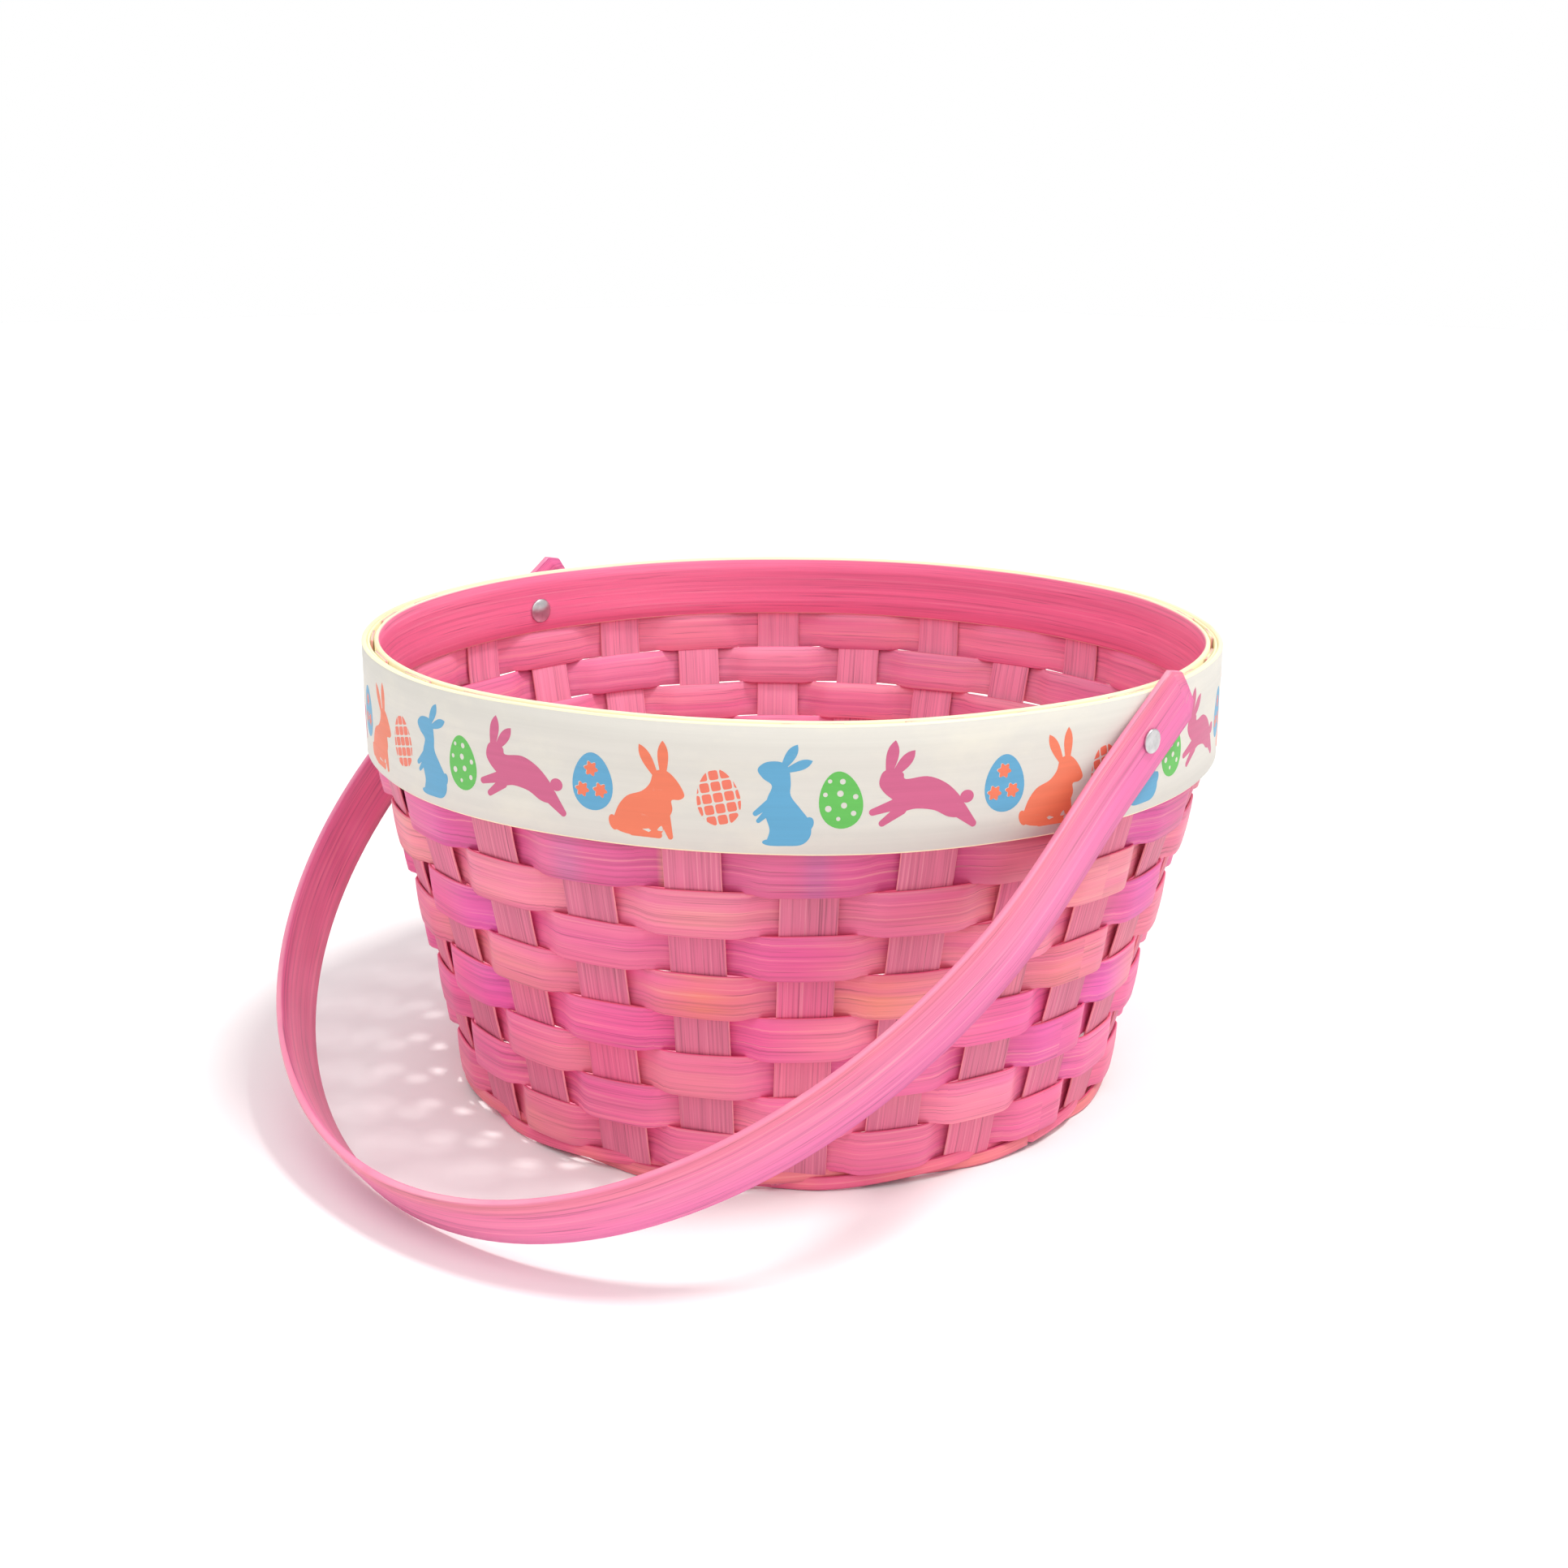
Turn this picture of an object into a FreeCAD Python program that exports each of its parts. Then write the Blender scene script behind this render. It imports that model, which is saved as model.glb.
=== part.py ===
"""Woven splint basket with a printed rim band and a swinging, riveted handle.

Thirteen splints cross in a plain-woven mat, fan out and turn up as twenty-six stakes.
Nine weaver rows and two narrow strands go in and out of the stakes, two bands clamp
the stake ends at the rim, and the handle turns on two rivets.

Frame: millimetres, +Z up, origin on the rest plane at the centre of the mat.
The rivets lie on the X axis and the handle rests swung down towards -Y.
"""
import FreeCAD, Part
import math
import os

from FreeCAD import Placement, Rotation, Vector

os.makedirs("parts", exist_ok=True)
doc = FreeCAD.newDocument("basket")

# ---------------------------------------------------------------- driving dimensions

SIZES = [
    ("RimRadius", 140.0, "outside of the printed band"),
    ("RimHeight", 150.0, "top of both bands"),
    ("OuterBandHeight", 36.0, "printed band"),
    ("InnerBandHeight", 22.0, "plain band inside the stakes"),
    ("FillerHeight", 21.0, "filler strip under the printed band"),
    ("BandThickness", 1.6, "both rim bands, bent veneer"),
    ("SplintThickness", 0.9, "every woven splint"),
    ("SplintWidth", 16.5, "base splints and the stakes they become"),
    ("FitGap", 0.1, "clearance between pieces that lie on each other"),
    ("EdgeMargin", 0.3, "flat length of a splint beyond the edge of one that it crosses"),
    ("LevelEase", 0.9, "length of a mat splint's slope from over to under"),
    ("EaseStart", 0.5, "start of that slope past the middle of a gap, so the origin is on a flat"),
    ("TrimDrop", 0.5, "stake ends and filler strip, below the top of the bands"),
    ("LongCount", 7, "base splints along X"),
    ("CrossCount", 6, "base splints along Y"),
    ("MatPitch", 20.0, "spacing of the splints in the mat"),
    ("StakePhase", -1.7, "turn of the whole weave about Z, degrees"),
    ("FootRadius", 109.5, "stake mid-surface where it turns up"),
    ("StakeTopRadius", 136.6, "stake mid-surface inside the bands"),
    ("RowCount", 9, "full-width weaver rows"),
    ("RowPitch", 13.55, "spacing of the weaver rows"),
    ("RowWidth", 13.0, "width of one weaver"),
    ("LowestRowHeight", 12.5, "middle of the lowest weaver"),
    ("StrandWidth", 1.9, "narrow strands at the foot"),
    ("LowerStrandHeight", 2.7, "middle of the lower strand"),
    ("UpperStrandHeight", 4.8, "middle of the upper strand"),
    ("PivotHeight", 136.0, "rivet axis above the rest plane"),
    ("HandleWidth", 20.0, "handle strip"),
    ("HandleThickness", 2.4, "handle strip"),
    ("HandleReach", 215.0, "rivet axis to the top of the arch"),
    ("HandleHalfSpan", 142.8, "widest half span, middle of the strip"),
    ("HandleLeg", 58.0, "rivet axis to the start of the curved part"),
    ("HandleSkew", 10.0, "sideways set of the bent strip at its top"),
    ("HandleFlat", 16.0, "flat length on each side of a rivet"),
    ("HandleTab", 22.0, "strip beyond the rivet"),
    ("HandleDrop", 36.0, "slope of the resting handle below level, degrees"),
    ("HandleGap", 0.3, "band to handle at the rivet"),
    ("RivetRadius", 1.75, "shank"),
    ("RivetHoleGap", 0.06, "radial clearance of the shank, fixed pieces and handle"),
    ("RivetBoreOverrun", 10.0, "bore tool beyond each side of the rim"),
    ("RivetHeadBite", 0.5, "length of the shank inside each head"),
    ("OuterHeadRadius", 3.6, "flat head outside the handle"),
    ("OuterHeadThickness", 1.0, "flat head outside the handle"),
    ("OuterHeadTaper", 0.4, "outer head, smaller radius at its face"),
    ("InnerHeadRadius", 4.6, "set head inside the basket"),
    ("InnerHeadThickness", 1.6, "set head inside the basket"),
]

sheet = doc.addObject("Spreadsheet::Sheet", "Sizes")
for row, (alias, value, note) in enumerate(SIZES, start=1):
    sheet.set("A%d" % row, alias)
    sheet.set("B%d" % row, str(value))
    sheet.set("C%d" % row, note)
    sheet.setAlias("B%d" % row, alias)
doc.recompute()


def size(alias):
    """The value of one driving dimension, read from the sheet."""
    return float(getattr(sheet, alias))


# ---------------------------------------------------------------- values worked out

half_splint = size("SplintThickness") / 2
half_width = size("SplintWidth") / 2
long_count = int(size("LongCount"))
cross_count = int(size("CrossCount"))
stake_count = 2 * (long_count + cross_count)
stake_step = 360.0 / stake_count

band_bottom = size("RimHeight") - size("OuterBandHeight")
lean = math.atan2(size("StakeTopRadius") - size("FootRadius"), band_bottom)

mat_offset = half_splint + size("FitGap") / 2     # up or down at a crossing
mat_level = 2 * half_splint + size("FitGap") / 2  # middle of the mat above the rest plane
stake_top = size("RimHeight") - size("TrimDrop")
crossing_half = half_width + size("EdgeMargin")   # half the flat length at a crossing


def stake_radius(height):
    """Radius of the stakes' mid-surface: a leaning wall, then upright inside the bands."""
    rise = min(height, band_bottom) / band_bottom
    return size("FootRadius") + rise * (size("StakeTopRadius") - size("FootRadius"))


# ---------------------------------------------------------------- flat-faced solids

def flat_faces(corners):
    """One face through four corners, or two triangles where they aren't in one plane."""
    first, second, third, fourth = corners
    normal = (second - first).cross(third - first)
    if normal.Length > 0 and abs(normal.normalize().dot(fourth - first)) < 1e-7:
        return [Part.Face(Part.makePolygon([first, second, third, fourth, first]))]
    return [
        Part.Face(Part.makePolygon([first, second, third, first])),
        Part.Face(Part.makePolygon([first, third, fourth, first])),
    ]


def strip_solid(stations, closed):
    """A solid strip through four-cornered stations, as a ring where it is closed."""
    faces = []
    count = len(stations)
    for index in range(count if closed else count - 1):
        here = stations[index]
        there = stations[(index + 1) % count]
        for side in range(4):
            after = (side + 1) % 4
            faces += flat_faces([here[side], here[after], there[after], there[side]])
    if not closed:
        faces += flat_faces(stations[0])
        faces += flat_faces(stations[-1])
    solid = Part.Solid(Part.Shell(faces))
    if solid.Volume < 0:
        solid.reverse()
    return solid


def splint_feature(name, shape, turn=0.0):
    """A document object for one woven piece, turned about Z with the whole weave."""
    feature = doc.addObject("Part::Feature", name)
    feature.Label = name
    feature.Shape = shape
    feature.Placement = Placement(Vector(), Rotation(Vector(0, 0, 1), turn + size("StakePhase")))
    return feature


# ---------------------------------------------------------------- base splints and stakes

def mitre(normal_a, normal_b):
    """Half-thickness offset at a bend, for the (radius, height) normals on its two sides."""
    total = (normal_a[0] + normal_b[0], normal_a[1] + normal_b[1])
    scale = half_splint / (1 + normal_a[0] * normal_b[0] + normal_a[1] * normal_b[1])
    return (total[0] * scale, total[1] * scale)


FLOOR_NORMAL = (0.0, 1.0)
WALL_NORMAL = (-math.cos(lean), math.sin(lean))
RIM_NORMAL = (-1.0, 0.0)


def arm_stations(side, angle):
    """Foot bend, band bend and trimmed end of one stake, from the foot upwards."""
    outward = Vector(side * math.cos(angle), math.sin(angle), 0)
    across = Vector(-side * math.sin(angle), math.cos(angle), 0) * half_width
    stations = []
    for height, offset in (
        (mat_level, mitre(FLOOR_NORMAL, WALL_NORMAL)),
        (band_bottom, mitre(WALL_NORMAL, RIM_NORMAL)),
        (stake_top, (-half_splint, 0.0)),
    ):
        centre = outward * stake_radius(height) + Vector(0, 0, height)
        inward = outward * offset[0] + Vector(0, 0, offset[1])
        stations.append([
            centre + across + inward,
            centre - across + inward,
            centre - across - inward,
            centre + across - inward,
        ])
    return stations


def mat_stations(place, levels):
    """Stations across the mat. levels holds +1 or -1 at each crossing, from -X to +X."""
    pitch = size("MatPitch")
    first = -pitch * (len(levels) - 1) / 2
    ease = size("LevelEase")
    start = size("EaseStart")
    points = [(first - crossing_half - ease, 0), (first - crossing_half, levels[0])]
    for index in range(len(levels) - 1):
        middle = first + pitch * (index + 0.5)
        points.append((middle + start, levels[index]))
        points.append((middle + start + ease, levels[index + 1]))
    points.append((-first + crossing_half, levels[-1]))
    points.append((-first + crossing_half + ease, 0))

    across = Vector(0, half_width, 0)
    up = Vector(0, 0, half_splint)
    stations = []
    for along, level in points:
        centre = Vector(along, place * pitch, mat_level + level * mat_offset)
        stations.append([centre + across + up, centre - across + up,
                         centre - across - up, centre + across - up])
    return stations


def base_splint(place, levels):
    """One splint: stake down, fan in, across the mat, fan out and stake up."""
    angle = math.radians(place * stake_step)
    down = arm_stations(-1, angle)[::-1]
    up = arm_stations(1, angle)
    return strip_solid(down + mat_stations(place, levels) + up, closed=False)


rivet_hole = doc.addObject("Part::Cylinder", "RivetBore")
rivet_hole.setExpression("Radius", "Sizes.RivetRadius + Sizes.RivetHoleGap")
rivet_hole.setExpression("Height", "2 * (Sizes.RimRadius + Sizes.RivetBoreOverrun)")
rivet_hole.Placement = Placement(
    Vector(-size("RimRadius") - size("RivetBoreOverrun"), 0, size("PivotHeight")),
    Rotation(Vector(0, 1, 0), 90))
doc.recompute()

parts = []

for index in range(long_count):
    place = index - (long_count - 1) / 2
    levels = [1 if (index + other) % 2 == 0 else -1 for other in range(cross_count)]
    shape = base_splint(place, levels)
    if place == 0:
        bore = rivet_hole.Shape.copy()
        bore.rotate(Vector(), Vector(0, 0, 1), -size("StakePhase"))
        shape = shape.cut(bore).Solids[0]
    parts.append(splint_feature("base_splint_long_%d" % (index + 1), shape))

for index in range(cross_count):
    place = (cross_count - 1) / 2 - index
    levels = [-1 if (index + other) % 2 == 0 else 1 for other in range(long_count)]
    shape = base_splint(place, levels)
    parts.append(splint_feature("base_splint_cross_%d" % (index + 1), shape, turn=90.0))


# ---------------------------------------------------------------- weaver rows and foot strands

def woven_ring(middle, width, start):
    """A ring that passes outside and inside the stakes in turn, beginning with start."""
    reach = (2 * half_splint + size("FitGap")) / math.cos(lean)
    half = half_splint / math.cos(lean)
    bottom = middle - width / 2
    top = middle + width / 2
    stations = []
    for stake in range(stake_count):
        side = start if stake % 2 == 0 else -start
        turn = Rotation(Vector(0, 0, 1), stake * stake_step)
        for along in (-crossing_half, crossing_half):
            corners = []
            for height, depth in ((bottom, half), (top, half), (top, -half), (bottom, -half)):
                radius = stake_radius(height) + side * reach + depth
                corners.append(turn.multVec(Vector(radius, along, height)))
            stations.append(corners)
    return strip_solid(stations, closed=True)


for index in range(int(size("RowCount"))):
    middle = size("LowestRowHeight") + index * size("RowPitch")
    start = 1 if index % 2 == 0 else -1
    parts.append(splint_feature("weaver_row_%d" % (index + 1),
                                woven_ring(middle, size("RowWidth"), start)))

parts.append(splint_feature("foot_strand_lower",
                            woven_ring(size("LowerStrandHeight"), size("StrandWidth"), 1)))
parts.append(splint_feature("foot_strand_upper",
                            woven_ring(size("UpperStrandHeight"), size("StrandWidth"), -1)))


# ---------------------------------------------------------------- bands at the rim

def band(name, outer, inner, height, drop):
    """A closed band from Part primitives, with the rivet holes cut through it."""
    outside = doc.addObject("Part::Cylinder", name + "_outside")
    outside.setExpression("Radius", outer)
    outside.setExpression("Height", height)
    inside = doc.addObject("Part::Cylinder", name + "_inside")
    inside.setExpression("Radius", inner)
    inside.setExpression("Height", height)
    for cylinder in (outside, inside):
        cylinder.setExpression("Placement.Base.z", "Sizes.RimHeight - %s - %s" % (height, drop))
    ring = doc.addObject("Part::Cut", name + "_ring")
    ring.Base = outside
    ring.Tool = inside
    bored = doc.addObject("Part::Cut", name)
    bored.Base = ring
    bored.Tool = rivet_hole
    bored.Label = name
    return bored


INNER_BAND_OUTSIDE = "(Sizes.StakeTopRadius - 0.5 * Sizes.SplintThickness - Sizes.FitGap)"

parts.append(band(
    "outer_band", "Sizes.RimRadius", "Sizes.RimRadius - Sizes.BandThickness",
    "Sizes.OuterBandHeight", "0"))
parts.append(band(
    "rim_filler", "Sizes.RimRadius - Sizes.BandThickness - Sizes.FitGap",
    "Sizes.RimRadius - Sizes.BandThickness - Sizes.FitGap - Sizes.SplintThickness",
    "Sizes.FillerHeight", "Sizes.TrimDrop"))
parts.append(band(
    "inner_band", INNER_BAND_OUTSIDE, INNER_BAND_OUTSIDE + " - Sizes.BandThickness",
    "Sizes.InnerBandHeight", "0"))


# ---------------------------------------------------------------- handle

def plane_of(body, role):
    """One of a body's own origin planes."""
    return [item for item in body.Origin.OriginFeatures if item.Role == role][0]


def arch_point(turn):
    """Middle line of the bent strip at a turn of 0 to pi, sideways and away from the rivets."""
    leg = size("HandleLeg")
    sideways = size("HandleHalfSpan") * math.cos(turn)
    away = leg + (size("HandleReach") - leg) * math.sin(turn)
    rise = (away - size("HandleFlat")) / (size("HandleReach") - size("HandleFlat"))
    return Vector(sideways + size("HandleSkew") * rise ** 2, away, 0)


def arch_outline(offset, foot, steps=36):
    """The bent strip's middle line moved offset outwards, ending flat beside each rivet."""
    flat = size("HandleFlat")
    small = 0.01                       # turn either side of a point, for the line's direction
    outline = [Vector(foot + offset, flat, 0)]
    for index in range(2, steps - 1):
        turn = math.pi * index / steps
        along = arch_point(turn + small) - arch_point(turn - small)
        normal = Vector(along.y, -along.x, 0).normalize()
        outline.append(arch_point(turn) + normal * offset)
    outline.append(Vector(-foot - offset, flat, 0))
    return outline


handle = doc.addObject("PartDesign::Body", "handle")
handle.Label = "handle"
sketch = handle.newObject("Sketcher::SketchObject", "ArchSketch")
sketch.AttachmentSupport = [(plane_of(handle, "XZ_Plane"), "")]
sketch.MapMode = "FlatFace"

half_strip = size("HandleThickness") / 2
strip_foot = size("RimRadius") + size("HandleGap") + half_strip
ends = {-1: [], 1: []}
for offset in (half_strip, -half_strip):
    outline = arch_outline(offset, strip_foot)
    curve = Part.BSplineCurve()
    curve.interpolate(Points=outline, InitialTangent=Vector(0, 1, 0), FinalTangent=Vector(0, -1, 0))
    sketch.addGeometry(curve, False)
    for side, corner in ((1, outline[0]), (-1, outline[-1])):
        tip = Vector(corner.x, -size("HandleTab"), 0)
        sketch.addGeometry(Part.LineSegment(corner, tip), False)
        ends[side].append(tip)
for tips in ends.values():
    sketch.addGeometry(Part.LineSegment(tips[0], tips[1]), False)

strip = handle.newObject("PartDesign::Pad", "ArchPad")
strip.Profile = sketch
strip.setExpression("Length", "Sizes.HandleWidth")
strip.Midplane = True
doc.recompute()

hole_sketch = handle.newObject("Sketcher::SketchObject", "HoleSketch")
hole_sketch.AttachmentSupport = [(plane_of(handle, "YZ_Plane"), "")]
hole_sketch.MapMode = "FlatFace"
hole_sketch.addGeometry(
    Part.Circle(Vector(), Vector(0, 0, 1), size("RivetRadius") + size("RivetHoleGap")), False)
holes = handle.newObject("PartDesign::Pocket", "RivetHoles")
holes.Profile = hole_sketch
holes.Type = "ThroughAll"
holes.Midplane = True
handle.Tip = holes

handle.Placement = Placement(
    Vector(0, 0, size("PivotHeight")), Rotation(Vector(1, 0, 0), 90 + size("HandleDrop")))
parts.append(handle)


# ---------------------------------------------------------------- rivets

def rivet(name, side):
    """Flat head outside the handle, shank, and a set head inside the inner band."""
    shank = doc.addObject("Part::Cylinder", name + "_shank")
    outer_head = doc.addObject("Part::Cone", name + "_outer_head")
    inner_head = doc.addObject("Part::Cone", name + "_inner_head")

    inside = (size("StakeTopRadius") - half_splint - 2 * size("FitGap")
              - size("BandThickness"))
    outside = (size("RimRadius") + size("HandleGap") + size("HandleThickness")
               + size("HandleGap") / 2)
    turn = Rotation(Vector(0, 1, 0), 90 * side)

    shank.setExpression("Radius", "Sizes.RivetRadius")
    bite = size("RivetHeadBite")
    shank.Height = outside - inside + 2 * bite
    shank.Placement = Placement(Vector(side * (inside - bite), 0, size("PivotHeight")), turn)

    outer_head.setExpression("Radius1", "Sizes.OuterHeadRadius")
    outer_head.setExpression("Radius2", "Sizes.OuterHeadRadius - Sizes.OuterHeadTaper")
    outer_head.setExpression("Height", "Sizes.OuterHeadThickness")
    outer_head.Placement = Placement(Vector(side * outside, 0, size("PivotHeight")), turn)

    inner_head.setExpression("Radius1", "Sizes.InnerHeadRadius")
    inner_head.setExpression("Radius2", "Sizes.InnerHeadRadius / 2")
    inner_head.setExpression("Height", "Sizes.InnerHeadThickness")
    inner_head.Placement = Placement(
        Vector(side * inside, 0, size("PivotHeight")), Rotation(Vector(0, 1, 0), -90 * side))

    whole = doc.addObject("Part::MultiFuse", name)
    whole.Shapes = [shank, outer_head, inner_head]
    whole.Label = name
    return whole


parts.append(rivet("rivet_right", 1))
parts.append(rivet("rivet_left", -1))


# ---------------------------------------------------------------- check and export

doc.recompute()

for item in doc.Objects:
    if "Invalid" in item.State or "Error" in item.State:
        raise RuntimeError("%s did not build: %s" % (item.Name, item.State))

for part in parts:
    shape = part.Shape
    if shape.isNull() or not shape.isValid() or len(shape.Solids) != 1:
        raise RuntimeError("%s is not one valid solid" % part.Label)
    shape.exportStep("parts/%s.step" % part.Label)
    print("%-22s %9.1f mm3" % (part.Label, shape.Volume))
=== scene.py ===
"""Looks of the woven splint basket: smooth weave, printed rim band, bent handle and rivets.

Metres, in the CAD frame: +Z up, rivets on the X axis, handle swung down towards -Y.
"""
import math

import bpy
from mathutils import Matrix, Vector, geometry, noise


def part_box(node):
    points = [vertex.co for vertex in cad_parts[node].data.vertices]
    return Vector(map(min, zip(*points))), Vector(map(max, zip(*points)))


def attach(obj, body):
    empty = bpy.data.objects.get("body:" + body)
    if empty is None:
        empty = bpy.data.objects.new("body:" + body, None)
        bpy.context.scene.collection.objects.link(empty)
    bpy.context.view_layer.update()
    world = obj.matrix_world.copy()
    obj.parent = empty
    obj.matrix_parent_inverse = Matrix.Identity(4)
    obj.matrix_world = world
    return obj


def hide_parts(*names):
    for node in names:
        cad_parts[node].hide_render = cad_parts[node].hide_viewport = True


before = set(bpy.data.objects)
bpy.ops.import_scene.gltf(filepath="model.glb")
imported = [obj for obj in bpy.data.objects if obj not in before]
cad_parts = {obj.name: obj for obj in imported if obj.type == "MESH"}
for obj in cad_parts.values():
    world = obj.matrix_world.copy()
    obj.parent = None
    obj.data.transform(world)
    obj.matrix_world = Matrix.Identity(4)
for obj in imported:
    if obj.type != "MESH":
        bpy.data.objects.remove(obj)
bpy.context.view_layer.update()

MM = 0.001
TAU = 2 * math.pi

# -------- sizes from the frame

ROWS = 9
LONG_SPLINTS = 7
CROSS_SPLINTS = 6
STAKES = 2 * (LONG_SPLINTS + CROSS_SPLINTS)
STAKE_STEP = TAU / STAKES
PHASE = math.radians(-1.7)  # turn of the weave against the rivets, as in the CAD
VIEW_TURN = math.radians(44.4)  # the side of the basket that is viewed, from -Y towards +X
FRONT = VIEW_TURN - math.pi / 2  # the same side as an angle from +X

band_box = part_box("outer_band")
inner_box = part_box("inner_band")
filler_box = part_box("rim_filler")
rivet_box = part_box("rivet_right")
row_boxes = [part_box("weaver_row_%d" % (index + 1)) for index in range(ROWS)]
strand_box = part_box("foot_strand_lower")
splint_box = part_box("base_splint_long_4")

RIM_RADIUS = band_box[1][0]
RIM_TOP = band_box[1][2]
BAND_BOTTOM = band_box[0][2]
INNER_RADIUS = inner_box[1][0]
INNER_BOTTOM = inner_box[0][2]
STAKE_TOP = splint_box[1][2]
PIVOT_HEIGHT = (rivet_box[0][2] + rivet_box[1][2]) / 2
ROW_MIDDLES = [(low[2] + high[2]) / 2 for low, high in row_boxes]
ROW_PITCH = ROW_MIDDLES[1] - ROW_MIDDLES[0]

SPLINT_THICK = 0.9 * MM
SPLINT_WIDTH = 16.5 * MM
BAND_THICK = 1.6 * MM
FILLER_THICK = 0.9 * MM
STAKE_INSET = 3.4 * MM  # rim's outside to the stakes' mid-surface
STRAND_REACH = 2.05 * MM  # stakes' mid-surface to a strand's outside, at the foot
TOP_RADIUS = RIM_RADIUS - STAKE_INSET
FOOT_RADIUS = strand_box[1][0] - STRAND_REACH
LEAN = math.atan2(TOP_RADIUS - FOOT_RADIUS, BAND_BOTTOM)
MAT_PITCH = 20 * MM
MAT_LEVEL = 0.95 * MM
FOOT_SET = Matrix.Rotation(VIEW_TURN, 3, "Z") @ Vector((-1.8 * MM, 0, 0))
WALL_HOLLOW = 0.012  # how far the woven wall is drawn in, of its radius
NOISE_GAIN = 1.6
NOISE_PLACE = Vector((11.3, 4.7, 8.1))


def wall_radius(height):
    """Mid-surface of the stakes: a leaning wall, then upright inside the bands."""
    rise = max(0.0, min(height / BAND_BOTTOM, 1.0))
    return FOOT_RADIUS + rise * (TOP_RADIUS - FOOT_RADIUS)


def smoothstep(low, high, value):
    part = max(0.0, min(1.0, (value - low) / (high - low)))
    return part * part * (3 - 2 * part)


def wobble(x, y, z=0):
    """Smooth variation between about -1 and 1, the same on every run."""
    return NOISE_GAIN * noise.noise(Vector((x, y, z)) + NOISE_PLACE)


def wobble_round(angle, scale, seed):
    """The same variation taken round a circle, so that it closes on itself."""
    return wobble(scale * math.cos(angle), scale * math.sin(angle), seed)


def outward(angle):
    return Vector((math.cos(angle), math.sin(angle), 0))


# -------- colours

def srgb(red, green, blue):
    """A colour given as it is seen, 0 to 255, in linear light."""
    def linear(value):
        value /= 255
        return value / 12.92 if value <= 0.04045 else ((value + 0.055) / 1.055) ** 2.4
    return Vector((linear(red), linear(green), linear(blue)))


HOT_PINK = srgb(236, 92, 146)
MAGENTA = srgb(216, 78, 146)
SOFT_PINK = srgb(238, 124, 158)
SALMON = srgb(238, 134, 142)
ORANGE = srgb(242, 140, 122)
STRAW = srgb(246, 182, 148)
STAKE_PINK = srgb(212, 112, 142)
# a dark rose for the foot strands' edges: their dye with painted shade for the lines between them
ROSE_EDGE_DYE_AND_SHADE = srgb(206, 72, 108)
STRAND_PINK = srgb(232, 100, 138)
STRAND_SALMON = srgb(228, 118, 130)
CUT_EDGE = srgb(242, 160, 170)
# the weavers' edges: their dye, darkened as painted shade for the thin lines between rows
WEAVER_EDGE_DYE_AND_SHADE = srgb(238, 96, 132)
CREAM = srgb(250, 238, 200)
PAINT = srgb(212, 208, 200)
# a lighter pink for the faces inside the basket: painted light on the interior
INSIDE_PAINTED_LIGHT_PINK = srgb(255, 160, 192)
BAND_PINK = srgb(250, 128, 166)
HANDLE_PINK = srgb(240, 136, 172)
HANDLE_MAGENTA = srgb(228, 98, 158)
HANDLE_EDGE = srgb(240, 140, 170)
HANDLE_SIDES = (srgb(228, 92, 166), srgb(226, 122, 134))  # its lower and upper side
INK_ORANGE = srgb(228, 116, 84)
INK_CORAL = INK_ORANGE.lerp(srgb(228, 110, 96), 0.5)
INK_BLUE = srgb(88, 158, 196)
INK_GREEN = srgb(92, 182, 80)
INK_MAGENTA = srgb(198, 90, 130)

# one dye lot for each row, the lowest first; the top row is behind the band
ROW_COLOURS = [
    srgb(232, 112, 148), srgb(240, 122, 160), srgb(234, 106, 156),
    srgb(240, 100, 158), srgb(230, 122, 146), srgb(232, 98, 152),
    srgb(232, 130, 150), srgb(212, 88, 140), srgb(240, 124, 152),
]
ORANGE_STAIN = srgb(240, 144, 96)
VIOLET_STAIN = srgb(222, 80, 184)
GREY_STAIN = srgb(124, 116, 166)
BARE_STAIN = srgb(240, 216, 144)

# where the dye has shifted: row, degrees from the front, half width, colour, strength
STAINS = [
    (8, 3.0, 2.4, GREY_STAIN, 0.3),
    (8, -15.2, 0.8, BARE_STAIN, 0.55),
    (8, -27.0, 3.2, GREY_STAIN, 0.3),
    (7, -28.0, 2.2, GREY_STAIN, 0.2),
    (7, 33.0, 9.0, ORANGE_STAIN, 0.25),
    (5, -11.0, 9.0, ORANGE_STAIN, 0.65),
    (5, 12.0, 9.0, ORANGE_STAIN, 0.55),
    (5, 40.0, 9.0, ORANGE_STAIN, 0.3),
    (4, 52.0, 9.0, VIOLET_STAIN, 0.6),
    (6, 56.0, 9.0, VIOLET_STAIN, 0.6),
    (2, 46.0, 9.0, VIOLET_STAIN, 0.5),
    (3, 40.0, 8.0, VIOLET_STAIN, 0.3),
    (6, -44.0, 9.0, VIOLET_STAIN, 0.6),
    (4, -46.0, 9.0, VIOLET_STAIN, 0.5),
    (8, -50.0, 9.0, VIOLET_STAIN, 0.3),
    (8, 50.0, 9.0, VIOLET_STAIN, 0.4),
]


# -------- materials

def node_tree(name):
    """A new material, with its node tree and its shader."""
    material = bpy.data.materials.new(name)
    material.use_nodes = True
    tree = material.node_tree
    shader = tree.nodes["Principled BSDF"]
    return material, tree, shader


def add(tree, kind, **values):
    """A node with its settings, or else the values of its inputs."""
    node = tree.nodes.new(kind)
    for key, value in values.items():
        if hasattr(node, key):
            setattr(node, key, value)
        else:
            node.inputs[key.replace("_", " ")].default_value = value
    return node


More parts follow.
